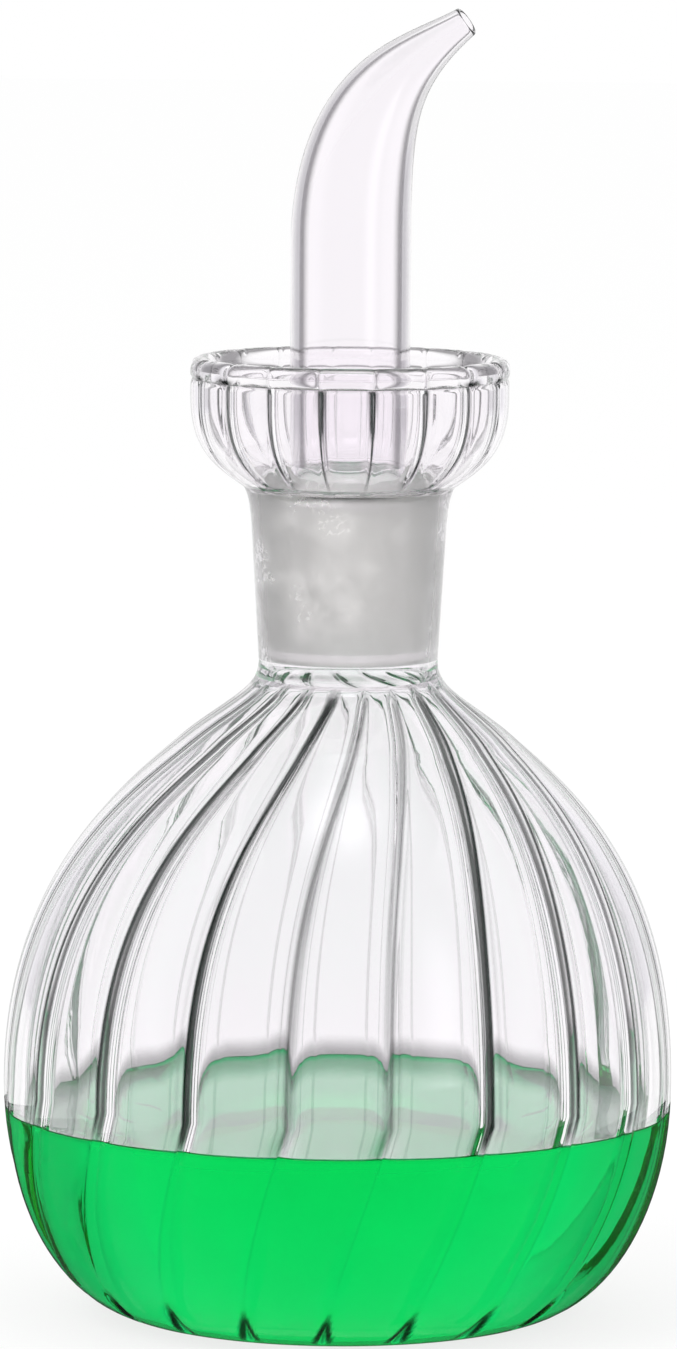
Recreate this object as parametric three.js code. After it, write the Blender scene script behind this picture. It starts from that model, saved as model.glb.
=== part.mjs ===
// Oil cruet: a fluted glass globe with a ground neck and a drip cup, closed by a lift-out horn pourer.
// Millimetres, +Z up. The origin is the centre of the flat foot, and the spout points along +X.
import * as THREE from 'three';
import { mergeVertices } from 'three/addons/utils/BufferGeometryUtils.js';

// Globe outline, from the foot up. A curve value is how far the outline keeps its direction there.
const BODY_DIAMETER = 100;
const FOOT_DIAMETER = 57;
const FOOT_CURVE = 11.5;
const WIDEST_HEIGHT = 35;
const BELLY_CURVE_BELOW = 20.5;
const BELLY_CURVE_ABOVE = 32;
const SHOULDER_DIAMETER = 49.6;
const SHOULDER_RISE = 51.3;
const SHOULDER_SLOPE = 42;
const SHOULDER_CURVE_BELOW = 10;
const SHOULDER_CURVE_ABOVE = 4.5;
const NECK_RISE = 8.5;
const NECK_CURVE = 2;
const NECK_OFFSET = 1.2;

// Glass thickness
const BASE_THICKNESS = 4;
const BODY_WALL = 2;
const SOCKET_WALL = 1.3;
const CUP_WALL = 1.1;
const CONE_WALL = 1.5;
const TUBE_WALL = 1.1;
const TIP_WALL = 0.65;

// Flutes pressed into the globe and the cup. Angles are in degrees.
const BODY_FLUTES = 20;
const BODY_FLUTE_DEPTH = 1.1;
const BODY_FLUTE_TURN = 4;
const BODY_FLUTE_START = 4;
const BODY_FLUTE_FADE = 10;
const LOWER_SWIRL = -13;
const UPPER_SWIRL = 20;
const SWIRL_POWER = 4;
const CUP_FLUTES = 18;
const CUP_FLUTE_DEPTH = 0.8;
const CUP_FLUTE_TURN = 12;
const CUP_FLUTE_FADE = 5;
const GROOVE_SHARPNESS = 3;

// Ground joint between the neck and the pourer
const NECK_STRAIGHT = 3.2;
const GROUND_LENGTH = 25.7;
const GROUND_TOP_DIAMETER = 26.3;
const GROUND_BOTTOM_DIAMETER = 23.4;
const GROUND_CLEARANCE = 0.3;

// Drip cup
const CUP_DIAMETER = 47.9;
const CUP_BOWL_HEIGHT = 13.3;
const CUP_FLARE_ANGLE = 35;
const CUP_FLARE_CURVE = 5;
const CUP_SIDE_CURVE = 8;
const CUP_SIDE_HEIGHT = 4.3;
const RIM_BEAD_EXTRA = 1.3;

// Horn pourer
const PIPE_DIAMETER = 17.8;
const PIPE_SHOULDER_RISE = 2.6;
const PIPE_STRAIGHT = 33.7;
const HORN_REACH = 17.3;
const HORN_RISE = 32.7;
const HORN_BEND_CURVE = 19;
const HORN_TIP_CURVE = 10.6;
const HORN_TIP_ANGLE = 35;
const HORN_BEND_SWELL = 0.6;
const HORN_TIP_FLARE = 2;
const TIP_DIAMETER = 4.6;

// Oil
const OIL_LEVEL = 30.4;
const OIL_GAP = 0.3;

// How finely the round faces are cut
const GROOVE_COLUMNS = [0, 0.12, 0.5, 0.88];
const PLAIN_COLUMNS = 48;
const PIPE_COLUMNS = 32;
const LOWER_STEPS = 6;
const UPPER_STEPS = 8;
const NECK_STEPS = 4;
const CUP_STEPS = 6;
const BEAD_STEPS = 7;
const SHOULDER_STEPS = 3;
const HORN_STEPS = 10;

const clearGlass = { color: 0xe9f2ee, roughness: 0.05, metalness: 0, transparent: true, opacity: 0.35 };
const groundGlass = { color: 0xd4d6d4, roughness: 0.7, metalness: 0, transparent: true, opacity: 0.75 };
const greenOil = { color: 0x00e15c, roughness: 0.05, metalness: 0, transparent: true, opacity: 0.9 };

const radians = THREE.MathUtils.degToRad;
const mix = THREE.MathUtils.lerp;
const ease = THREE.MathUtils.smoothstep;

// Radii and heights that several pieces share
const bodyRadius = BODY_DIAMETER / 2;
const shoulderHeight = WIDEST_HEIGHT + SHOULDER_RISE;
const neckHeight = shoulderHeight + NECK_RISE;
const groundBottom = neckHeight + NECK_STRAIGHT;
const groundTop = groundBottom + GROUND_LENGTH;
const coneBottomRadius = GROUND_BOTTOM_DIAMETER / 2;
const coneTopRadius = GROUND_TOP_DIAMETER / 2;
const neckBoreRadius = coneBottomRadius + GROUND_CLEARANCE;
const mouthRadius = coneTopRadius + GROUND_CLEARANCE;
const neckRadius = neckBoreRadius + SOCKET_WALL;
const mouthOuterRadius = mouthRadius + SOCKET_WALL;
const cupRadius = CUP_DIAMETER / 2;
const pipeRadius = PIPE_DIAMETER / 2;
const pipeBottom = groundTop + PIPE_SHOULDER_RISE;

function point(r, z, pressR = 0, pressZ = 0) {
  return { r, z, pressR, pressZ };
}

function direction(angle) {
  return new THREE.Vector2(Math.cos(radians(angle)), Math.sin(radians(angle)));
}

// Points beside a curve, moved to its left by a distance that may change along it
function beside(curve, steps, distance) {
  return Array.from({ length: steps + 1 }, (_, step) => {
    const along = step / steps;
    const tangent = curve.getTangent(along);
    const left = new THREE.Vector2(-tangent.y, tangent.x);
    return curve.getPoint(along).addScaledVector(left, distance(along));
  });
}

// A closed solid, turned from an outline of points whose places come from a function
function turned(name, outline, columns, place, look) {
  const geometry = new THREE.LatheGeometry(outline.map(({ r, z }) => new THREE.Vector2(r, z)), columns);
  const position = geometry.getAttribute('position');
  for (let index = 0; index < position.count; index += 1) {
    const column = Math.floor(index / outline.length) % columns;
    const spot = place(outline[index % outline.length], column);
    position.setXYZ(index, spot.x, spot.y, spot.z);
  }
  geometry.deleteAttribute('normal');
  geometry.deleteAttribute('uv');
  const merged = mergeVertices(geometry);
  const corners = Array.from(merged.index.array);
  const kept = [];
  for (let corner = 0; corner < corners.length; corner += 3) {
    const [a, b, c] = corners.slice(corner, corner + 3);
    if (a !== b && b !== c && c !== a) kept.push(a, b, c);
  }
  merged.setIndex(kept);
  merged.computeVertexNormals();
  const mesh = new THREE.Mesh(merged, new THREE.MeshStandardMaterial(look));
  mesh.name = name;
  return mesh;
}

function around(r, angle, z) {
  return new THREE.Vector3(r * Math.cos(angle), r * Math.sin(angle), z);
}

function plainPlace(columns) {
  return ({ r, z }, column) => around(r, (column / columns) * 2 * Math.PI, z);
}

function flutedPlace(flutes, turn, swirl) {
  return ({ r, z, pressR, pressZ }, column) => {
    const flute = Math.floor(column / GROOVE_COLUMNS.length);
    const across = GROOVE_COLUMNS[column % GROOVE_COLUMNS.length];
    const angle = radians(((flute + across) * 360) / flutes + turn + swirl(z));
    const press = Math.abs(2 * across - 1) ** GROOVE_SHARPNESS;
    return around(r - pressR * press, angle, z - pressZ * press);
  };
}

// Globe outline in three curves: foot to widest ring, widest ring to shoulder, shoulder to neck
const widest = new THREE.Vector2(bodyRadius, WIDEST_HEIGHT);
const shoulder = new THREE.Vector2(SHOULDER_DIAMETER / 2, shoulderHeight);
const inward = direction(180 - SHOULDER_SLOPE);
const lowerCurve = new THREE.CubicBezierCurve(
  new THREE.Vector2(FOOT_DIAMETER / 2, 0),
  new THREE.Vector2(FOOT_DIAMETER / 2 + FOOT_CURVE, 0),
  new THREE.Vector2(bodyRadius, WIDEST_HEIGHT - BELLY_CURVE_BELOW),
  widest,
);
const upperCurve = new THREE.CubicBezierCurve(
  widest,
  new THREE.Vector2(bodyRadius, WIDEST_HEIGHT + BELLY_CURVE_ABOVE),
  shoulder.clone().addScaledVector(inward, -SHOULDER_CURVE_BELOW),
  shoulder,
);
const neckCurve = new THREE.CubicBezierCurve(
  shoulder,
  shoulder.clone().addScaledVector(inward, SHOULDER_CURVE_ABOVE),
  new THREE.Vector2(neckRadius, neckHeight - NECK_CURVE),
  new THREE.Vector2(neckRadius, neckHeight),
);

// The glass thins from the base to the belly, and from the belly to the neck
const bellyThickness = BODY_WALL + BODY_FLUTE_DEPTH;
const shoulderThickness = (bellyThickness + SOCKET_WALL) / 2;

function globeSheet(extra) {
  const thinning = (from, to) => (along) => mix(from, to, along) + extra;
  return [
    ...beside(lowerCurve, LOWER_STEPS, thinning(BASE_THICKNESS, bellyThickness)),
    ...beside(upperCurve, UPPER_STEPS, thinning(bellyThickness, shoulderThickness)).slice(1),
    ...beside(neckCurve, NECK_STEPS, thinning(shoulderThickness, SOCKET_WALL)).slice(1),
  ];
}

function bodyFluteDepth(r, z) {
  const start = ease(z, BODY_FLUTE_START, BODY_FLUTE_START + BODY_FLUTE_FADE);
  const end = 1 - ease(z, shoulderHeight, neckHeight);
  return (BODY_FLUTE_DEPTH * start * end * r) / bodyRadius;
}

function bodySwirl(z) {
  const below = Math.max(0, 1 - z / WIDEST_HEIGHT);
  const above = Math.max(0, z - WIDEST_HEIGHT) / (neckHeight - WIDEST_HEIGHT);
  return LOWER_SWIRL * below + UPPER_SWIRL * above ** SWIRL_POWER;
}

function flutedBody() {
  const outside = [
    ...lowerCurve.getPoints(LOWER_STEPS),
    ...upperCurve.getPoints(UPPER_STEPS).slice(1),
    ...neckCurve.getPoints(NECK_STEPS).slice(1),
  ].map(({ x, y }) => point(x, y, bodyFluteDepth(x, y)));
  const inside = globeSheet(0).map(({ x, y }) => point(x, y)).reverse();
  const outline = [point(0, 0), ...outside, ...inside, point(0, BASE_THICKNESS)];
  const columns = BODY_FLUTES * GROOVE_COLUMNS.length;
  const onAxis = flutedPlace(BODY_FLUTES, BODY_FLUTE_TURN, bodySwirl);
  const place = (spot, column) => {
    const placed = onAxis(spot, column);
    placed.x += NECK_OFFSET * ease(spot.z, WIDEST_HEIGHT, neckHeight);
    return placed;
  };
  return turned('fluted_body', outline, columns, place, clearGlass);
}

function oilFill() {
  const sheet = globeSheet(OIL_GAP);
  const above = sheet.findIndex(({ y }) => y > OIL_LEVEL);
  const [low, high] = [sheet[above - 1], sheet[above]];
  const edge = low.clone().lerp(high, (OIL_LEVEL - low.y) / (high.y - low.y));
  const side = [...sheet.slice(0, above), edge].map(({ x, y }) => point(x, y));
  const outline = [point(0, BASE_THICKNESS + OIL_GAP), ...side, point(0, OIL_LEVEL)];
  return turned('oil_fill', outline, PLAIN_COLUMNS, plainPlace(PLAIN_COLUMNS), greenOil);
}

function neckSocket() {
  const outline = [
    point(neckBoreRadius, neckHeight),
    point(neckRadius, neckHeight),
    point(neckRadius, groundBottom),
    point(mouthOuterRadius, groundTop),
    point(mouthRadius, groundTop),
    point(neckBoreRadius, groundBottom),
    point(neckBoreRadius, neckHeight),
  ];
  return turned('neck_socket', outline, PLAIN_COLUMNS, plainPlace(PLAIN_COLUMNS), groundGlass);
}

function dripCup() {
  const sideStart = groundTop + CUP_BOWL_HEIGHT;
  const thickness = CUP_WALL + CUP_FLUTE_DEPTH;
  const beadRadius = (thickness + RIM_BEAD_EXTRA) / 2;
  const beadCentre = new THREE.Vector2(cupRadius - beadRadius, sideStart + CUP_SIDE_HEIGHT);
  const mouth = new THREE.Vector2(mouthOuterRadius, groundTop);
  const bowl = new THREE.CubicBezierCurve(
    mouth,
    mouth.clone().addScaledVector(direction(CUP_FLARE_ANGLE), CUP_FLARE_CURVE),
    new THREE.Vector2(cupRadius, sideStart - CUP_SIDE_CURVE),
    new THREE.Vector2(cupRadius, sideStart),
  );
  const fluteDepth = (z) => CUP_FLUTE_DEPTH * ease(z, groundTop, groundTop + CUP_FLUTE_FADE);
  const outside = bowl.getPoints(CUP_STEPS).map(({ x, y }) => point(x, y, fluteDepth(y)));
  const inside = beside(bowl, CUP_STEPS, () => thickness).map(({ x, y }) => point(x, y)).reverse();
  const lastAngle = 1.5 * Math.PI + Math.asin((beadRadius - thickness) / beadRadius);
  const bead = Array.from({ length: BEAD_STEPS + 1 }, (_, step) => {
    const angle = (lastAngle * step) / BEAD_STEPS;
    const [across, up] = [Math.cos(angle), Math.sin(angle)];
    const notch = [Math.max(0, across), Math.max(0, up)].map((share) => share * CUP_FLUTE_DEPTH);
    return point(beadCentre.x + beadRadius * across, beadCentre.y + beadRadius * up, ...notch);
  });
  const outline = [...outside, ...bead, ...inside, point(mouthRadius, groundTop), outside[0]];
  const columns = CUP_FLUTES * GROOVE_COLUMNS.length;
  const place = flutedPlace(CUP_FLUTES, CUP_FLUTE_TURN, () => 0);
  return turned('drip_cup', outline, columns, place, clearGlass);
}

function groundCone() {
  const boreTop = pipeRadius - TUBE_WALL;
  const crown = new THREE.QuadraticBezierCurve(
    new THREE.Vector2(coneTopRadius, groundTop),
    new THREE.Vector2(pipeRadius, groundTop + PIPE_SHOULDER_RISE / 2),
    new THREE.Vector2(pipeRadius, pipeBottom),
  );
  const outside = crown.getPoints(SHOULDER_STEPS).map(({ x, y }) => point(x, y));
  const outline = [
    point(coneBottomRadius - CONE_WALL, groundBottom),
    point(coneBottomRadius, groundBottom),
    ...outside,
    point(boreTop, pipeBottom),
    point(boreTop, groundTop),
    point(coneTopRadius - CONE_WALL, groundTop - CONE_WALL),
    point(coneBottomRadius - CONE_WALL, groundBottom),
  ];
  return turned('ground_cone', outline, PLAIN_COLUMNS, plainPlace(PLAIN_COLUMNS), groundGlass);
}

// The horn is turned as a straight pipe and then bent: a station is a place along its centre line
function hornSpout() {
  const bendStart = new THREE.Vector2(0, pipeBottom + PIPE_STRAIGHT);
  const tip = new THREE.Vector2(HORN_REACH, bendStart.y + HORN_RISE);
  const centreLine = new THREE.CubicBezierCurve(
    bendStart,
    new THREE.Vector2(0, bendStart.y + HORN_BEND_CURVE),
    tip.clone().addScaledVector(direction(HORN_TIP_ANGLE), -HORN_TIP_CURVE),
    tip,
  );
  const tipRadius = TIP_DIAMETER / 2;
  const taper = new THREE.CubicBezierCurve(
    new THREE.Vector2(0, pipeRadius),
    new THREE.Vector2(1, pipeRadius + HORN_BEND_SWELL),
    new THREE.Vector2(2, tipRadius + HORN_TIP_FLARE),
    new THREE.Vector2(3, tipRadius),
  );
  const stations = Array.from({ length: HORN_STEPS + 1 }, (_, step) => {
    const along = step / HORN_STEPS;
    const tangent = centreLine.getTangent(along);
    const centre = centreLine.getPoint(along);
    const outer = taper.getPoint(along).y;
    return { centre, tangent, outer, inner: outer - mix(TUBE_WALL, TIP_WALL, along) };
  });
  const foot = { ...stations[0], centre: new THREE.Vector2(0, pipeBottom) };
  const all = [foot, ...stations];
  const outside = all.map((station) => ({ ...point(station.outer, station.centre.y), station }));
  const inside = all.map((station) => ({ ...point(station.inner, station.centre.y), station })).reverse();
  const place = ({ r, station }, column) => {
    const angle = (column / PIPE_COLUMNS) * 2 * Math.PI;
    const { centre, tangent } = station;
    const sideways = r * Math.cos(angle);
    return new THREE.Vector3(
      centre.x + sideways * tangent.y,
      r * Math.sin(angle),
      centre.y - sideways * tangent.x,
    );
  };
  return turned('horn_spout', [...outside, ...inside, outside[0]], PIPE_COLUMNS, place, clearGlass);
}

// The neck stands a little off the globe's axis, and the cup and the pourer stand on the neck
const head = new THREE.Group();
head.position.x = NECK_OFFSET;
const pourer = new THREE.Group();
pourer.add(groundCone(), hornSpout());
head.add(neckSocket(), dripCup(), pourer);

const cruet = new THREE.Group();
cruet.add(flutedBody(), oilFill(), head);

export default cruet;
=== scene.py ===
"""Oil cruet of clear blown glass with a lift-out pourer and a green filling, dressed over its solids."""

import math

import bpy
import numpy as np
from bpy.props import FloatProperty, FloatVectorProperty, IntProperty, PointerProperty
from bpy.types import NodeSocket, Operator, Panel, PropertyGroup
from mathutils import Matrix, Vector


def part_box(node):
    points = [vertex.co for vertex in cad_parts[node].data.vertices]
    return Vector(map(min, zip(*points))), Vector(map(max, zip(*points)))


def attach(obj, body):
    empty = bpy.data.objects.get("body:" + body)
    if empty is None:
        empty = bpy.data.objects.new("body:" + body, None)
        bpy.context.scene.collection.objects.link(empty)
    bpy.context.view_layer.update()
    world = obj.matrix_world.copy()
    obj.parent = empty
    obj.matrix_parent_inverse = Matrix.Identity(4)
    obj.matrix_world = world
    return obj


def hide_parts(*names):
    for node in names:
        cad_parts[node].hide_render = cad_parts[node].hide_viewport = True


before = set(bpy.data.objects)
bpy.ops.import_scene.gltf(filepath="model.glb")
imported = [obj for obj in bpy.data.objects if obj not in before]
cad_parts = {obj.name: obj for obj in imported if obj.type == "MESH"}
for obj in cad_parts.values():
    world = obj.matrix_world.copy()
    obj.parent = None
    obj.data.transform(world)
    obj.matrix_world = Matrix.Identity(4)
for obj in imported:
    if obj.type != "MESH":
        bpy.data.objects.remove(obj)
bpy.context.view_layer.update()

bl_info = {
    "name": "Oil cruet",
    "version": (1, 0, 0),
    "blender": (4, 5, 0),
    "location": "3D View > Sidebar > Cruet",
    "description": "Builds a fluted glass oil cruet with a ground-joint pourer",
    "category": "Add Mesh",
}

GLOBE_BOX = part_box("fluted_body")
NECK_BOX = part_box("neck_socket")
CUP_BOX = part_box("drip_cup")
CONE_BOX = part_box("ground_cone")
HORN_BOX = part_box("horn_spout")
OIL_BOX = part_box("oil_fill")
NECK_AXIS = (NECK_BOX[0].x + NECK_BOX[1].x) / 2

# The cone and the horn each stop short of the other by the seam. The neck laps into the globe and the cup.
SEAM = 0.00002
LAP = 0.00003

# Columns across half a flute, with the share of them that is spread evenly, and columns round plain pieces.
GLOBE_COLUMNS = (12, 0.12)
CUP_COLUMNS = (10, 0.2)
CROWDING = 3.2
ROUND_COLUMNS = 128
HORN_COLUMNS = 96
SHARP_EDGE = math.radians(35)

# Spread and seed of each steady difference from rib to rib.
HAND_MADE = {
    "rib height": (0.14, 3),
    "rib place": (0.008, 5),
    "rib line": (0.18, 17),
    "side line": (0.09, 23),
    "cup rib height": (0.18, 7),
    "cup rib place": (0.012, 11),
}


def length(name, description, default):
    """A size in metres."""
    return FloatProperty(name=name, description=description, default=default, precision=5, unit="LENGTH")


def angle(name, description, degrees):
    """An angle, given in degrees."""
    return FloatProperty(
        name=name, description=description, default=math.radians(degrees), subtype="ANGLE"
    )


def share(name, description, default):
    """A number from nought to one."""
    return FloatProperty(
        name=name, description=description, default=default, min=0.0, max=1.0, subtype="FACTOR"
    )


def colour(name, description, default):
    """A linear colour."""
    return FloatVectorProperty(
        name=name, description=description, default=default, min=0.0, max=1.0, size=3, subtype="COLOR"
    )


class GlobeSizes(PropertyGroup):
    """The blown globe."""

    radius: length("Radius", "Outside radius at the widest ring", (GLOBE_BOX[1].y - GLOBE_BOX[0].y) / 2)
    widest: length("Widest ring", "Height of the widest ring", 0.035)
    foot: length("Foot radius", "Radius of the flat foot", 0.0285)
    foot_curve: length("Foot curve", "Reach of the curve out of the foot", 0.0115)
    kick: length("Kick", "Height of the hollow under the foot", 0.0007)
    below: length("Belly curve below", "Reach of the belly's curve below the widest ring", 0.0205)
    above: length("Belly curve above", "Reach of the belly's curve above the widest ring", 0.032)
    shoulder: length("Shoulder radius", "Radius where the shoulder turns into the neck", 0.0248)
    shoulder_rise: length("Shoulder rise", "Height of the shoulder above the widest ring", 0.0513)
    shoulder_slope: angle("Shoulder slope", "Slope of the shoulder", 42.0)
    shoulder_below: length("Shoulder curve below", "Reach of the curve into the shoulder", 0.010)
    shoulder_above: length("Shoulder curve above", "Reach of the curve out of the shoulder", 0.0045)
    neck_curve: length("Neck curve", "Reach of the curve into the neck", 0.002)
    base: length("Base thickness", "Glass under the filling", 0.0042)
    wall: length("Wall", "Glass at the middle of a flute", 0.0023)
    flutes: IntProperty(name="Flutes", description="Flutes round the globe", default=20, min=3)
    turn: angle("Flute turn", "Turn of the first rib", 4.0)
    rib: length("Rib", "Height of the ribs inside the wall", 0.0014)
    lobe: length("Flute depth", "Depth of the flutes outside", 0.00035)
    crease: length("Crease", "Depth of the crease between two flutes", 0.0001)
    pinch: length("Pinch", "Depth of the pinch at the lower end of each crease", 0.0008)
    lower_swirl: angle("Lower swirl", "Twist of the ribs at the foot", -13.0)
    upper_swirl: angle("Upper swirl", "Twist of the ribs at the neck", 20.0)


class NeckSizes(PropertyGroup):
    """The ground neck."""

    radius: length("Neck radius", "Outside radius at the foot of the neck", 0.0133)
    mouth: length("Mouth radius", "Outside radius at the mouth", 0.01475)
    wall: length("Wall", "Glass in the neck", 0.0013)
    straight: length("Plain length", "Clear length below the ground part", 0.0032)
    foot_spread: length("Foot spread", "Spread of the neck's foot into the shoulder", 0.0009)
    mouth_spread: length("Mouth spread", "Spread of the neck's mouth into the cup", 0.0010)


class CupSizes(PropertyGroup):
    """The drip cup."""

    radius: length("Radius", "Outside radius of the rim", (CUP_BOX[1].y - CUP_BOX[0].y) / 2)
    bowl: length("Bowl height", "Height of the bowl's curve", 0.0133)
    flare: angle("Flare", "Slope where the bowl leaves the neck", 35.0)
    flare_curve: length("Flare curve", "Reach of the curve out of the neck", 0.005)
    side_curve: length("Side curve", "Reach of the curve into the side", 0.008)
    wall: length("Wall", "Glass at the middle of a flute", 0.0014)
    bead: length("Rim bead", "Radius of the rolled rim", 0.0016)
    flutes: IntProperty(name="Flutes", description="Flutes round the cup", default=18, min=3)
    turn: angle("Flute turn", "Turn of the first rib", 12.0)
    rib: length("Rib", "Height of the ribs inside the wall", 0.0008)
    lobe: length("Flute depth", "Depth of the flutes outside", 0.0003)
    crease: length("Crease", "Depth of the crease between two flutes", 0.0002)
    groove: length("Rim groove", "Depth of the groove under the rolled rim", 0.00025)
    notch: length("Rim notch", "Depth of the deepest notches between two flutes at the rim", 0.0006)


class PourerSizes(PropertyGroup):
    """The ground cone and the horn."""

    cone_top: length("Cone top", "Radius of the ground cone at its top", 0.01315)
    cone_bottom: length("Cone bottom", "Radius of the ground cone at its lower end", 0.0117)
    cone_wall: length("Cone wall", "Glass in the cone", 0.0015)
    crown: length("Crown", "Height of the shoulder over the cone", 0.0026)
    pipe: length("Pipe radius", "Outside radius of the pipe", 0.0089)
    pipe_wall: length("Pipe wall", "Glass in the pipe", 0.0013)
    pipe_length: length("Pipe length", "Straight length of the pipe", 0.0337)
    reach: length("Horn reach", "Sideways reach of the horn", 0.0173)
    rise: length("Horn rise", "Height of the horn over the straight pipe", 0.0327)
    bend: length("Bend", "Reach of the curve out of the pipe", 0.0215)
    tip_curve: length("Tip curve", "Reach of the curve into the tip", 0.0106)
    tip_angle: angle("Tip angle", "Slope of the tip", 35.0)
    tip: length("Tip radius", "Outside radius of the tip", 0.0023)
    tip_wall: length("Tip wall", "Glass at the tip", 0.00065)


class OilSizes(PropertyGroup):
    """The filling."""

    level: length("Level", "Height of the filling", OIL_BOX[1].z)
    climb: length("Climb", "Rise of the filling's edge up the glass", 0.0005)
    lap: length("Lap", "Depth to which the filling laps into the glass", 0.00006)
    # Height over the filling's edge of the soft painted shade on the far wall.
    far_smear: length("Far smear", "Height of the film that the filling leaves on the glass", 0.0034)


class GlassLook(PropertyGroup):
    """Colours and finishes."""

    glass: colour("Glass", "Tint of the clear glass", (0.988, 0.970, 0.990))
    # Painted shade: the near-black tint of the ribs' lines, standing in for the dark lines that the ribs bend
    # into view.
    rib_shade: colour("Rib shade", "Tint along the ribs", (0.0010, 0.0022, 0.0016))
    # Painted shade: the dark tint where the glass is seen edge on, standing in for dark surroundings bent
    # into view.
    edge_shade: colour("Edge shade", "Tint of the glass seen edge on", (0.030, 0.026, 0.032))
    ground: colour("Ground glass", "Tint of the ground joint", (0.988, 0.995, 0.970))
    oil: colour("Oil", "Tint of the filling", (0.50, 0.985, 0.72))
    oil_top: colour("Oil surface", "Tint of the filling's surface", (0.05, 0.58, 0.30))
    # Painted light: the brighter green of the surface's middle.
    oil_middle_light: colour("Oil middle light", "Tint in the middle of the filling's surface", (0.05, 0.90, 0.37))
    # Painted shade: the dark tint at the filling's edge and on a ring of its surface inside it.
    oil_edge_shade: colour("Oil edge shade", "Tint of the filling's edge", (0.015, 0.09, 0.05))
    ground_rough: share("Ground roughness", "Roughness of the ground joint", 0.48)
    # Painted shade: how dark the soft smear over the filling's edge on the far wall gets.
    far_smear: share("Far smear shade", "Shade of the film over the filling", 0.44)


class StageLook(PropertyGroup):
    """Camera, lamps and stage."""

    azimuth: angle("Azimuth", "Turn of the camera round the cruet", 13.0)
    distance: length("Distance", "Camera's distance from the globe's axis", 1.29)
    height: length("Height", "Camera's height", 0.243)
    pitch: angle("Pitch", "Camera's downward tilt", 6.52)
    roll: angle("Roll", "Camera's lean", 0.38)
    sideways: length("Sideways", "Camera's step to its right", -0.00025)
    lens: FloatProperty(
        name="Lens", description="Focal length on a 36 mm frame", default=233.4, unit="CAMERA"
    )
    fill: share("Fill", "Light of the room", 1.0)
    shadow: share("Shadow", "Share of the floor that takes the lamps' shadow", 0.2)
    flag: share("Flag", "Grey of the flags through the empty globe", 0.7)
    front_dark: share("Front", "Grey of the room behind the camera", 0.05)
    front_glow: FloatProperty(
        name="Front light", description="Strength of the soft light high in front", default=4.0, min=0.0
    )


def bezier(points, steps):
    """Even steps along a Bezier curve."""
    t = np.linspace(0.0, 1.0, steps + 1)[:, None]
    points = [np.asarray(point, float) for point in points]
    while len(points) > 1:
        points = [a * (1 - t) + b * t for a, b in zip(points, points[1:])]
    return points[0]


def line(start, end, steps):
    """Even steps along a straight line."""
    return bezier([start, end], steps)


def join(*runs):
    """Runs of points as one line, without the doubled ends."""
    return np.concatenate([runs[0]] + [run[1:] for run in runs[1:]])


def heading(turn):
    """The direction at an angle from the first axis."""
    return np.array([math.cos(turn), math.sin(turn)])


def smoothstep(value, low, high):
    """Rises smoothly from 0 at low to 1 at high."""
    t = np.clip((value - low) / (high - low), 0.0, 1.0)
    return t * t * (3 - 2 * t)


def bell(value):
    """1 at nought, falling to 0 on both sides."""
    return np.exp(-(value**2))


def unit_runs(path):
    """The direction of a path at each of its points."""
    run = np.gradient(path, axis=0)
    return run / np.linalg.norm(run, axis=1)[:, None]


def offset(outline, thickness):
    """The outline moved to its left by a thickness at each point."""
    run = unit_runs(outline)
    return outline + np.stack([-run[:, 1], run[:, 0]], 1) * np.asarray(thickness)[..., None]


def arc(centre, radius, start, end, steps):
    """Points on an arc."""
    turns = np.linspace(start, end, steps + 1)
    return np.asarray(centre) + radius * np.stack([np.cos(turns), np.sin(turns)], 1)


def round_angles(columns):
    """Even angles round a piece."""
    return np.linspace(0.0, math.tau, columns, endpoint=False)


def flute_columns(flutes, half_steps, even):
    """Columns that crowd towards the ribs: their angles, and each one's nearness to a rib (1 on it)."""
    step = np.linspace(0.0, 1.0, half_steps + 1)
    half = 0.5 * (even * step + (1 - even) * step**CROWDING)
    across = np.concatenate([half, 1 - half[-2:0:-1]])
    angles = (np.arange(flutes)[:, None] + across[None]).ravel() * (math.tau / flutes)
    return angles, np.tile(np.abs(2 * across - 1), flutes)


def hand_made(flutes, columns, what):
    """A small steady difference from rib to rib, as in hand-blown glass."""
    amount, seed = HAND_MADE[what]
    ribs = np.random.default_rng(seed).uniform(-amount, amount, flutes)
    steps = columns // flutes
    place = (np.arange(columns) + steps / 2) / steps
    return np.interp(place, np.arange(flutes + 2), np.concatenate([ribs[-1:], ribs, ribs[:1]]))


def chosen_ribs(flutes, angles, ribs, value, others):
    """A value at the columns nearest to the chosen ribs, and another at the rest."""
    values = np.full(flutes, others)
    values[ribs] = value
    return values[np.round(angles * flutes / math.tau).astype(int) % flutes]


def rounded_rib(nearness, rounding=0.045):
    """Nearness with the rib's crest rounded off."""
    return 1 + rounding - np.sqrt((1 - nearness) ** 2 + rounding**2)


def crease_line(nearness, width):
    """1 along a crease, falling to 0 beside it."""
    return bell((1 - nearness) / width)[None]


def flank_lines(distance, apart, width):
    """Painted shade of two dark lines: 1 on both flanks of a rib and less on its crest, by the distance from
    the crest.
    """
    flank, crest = 2.6, 0.45
    lines = np.maximum(flank * bell((distance - apart) / width), crest * bell(distance / width))
    return np.clip(lines, 0.0, 1.0)


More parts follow.
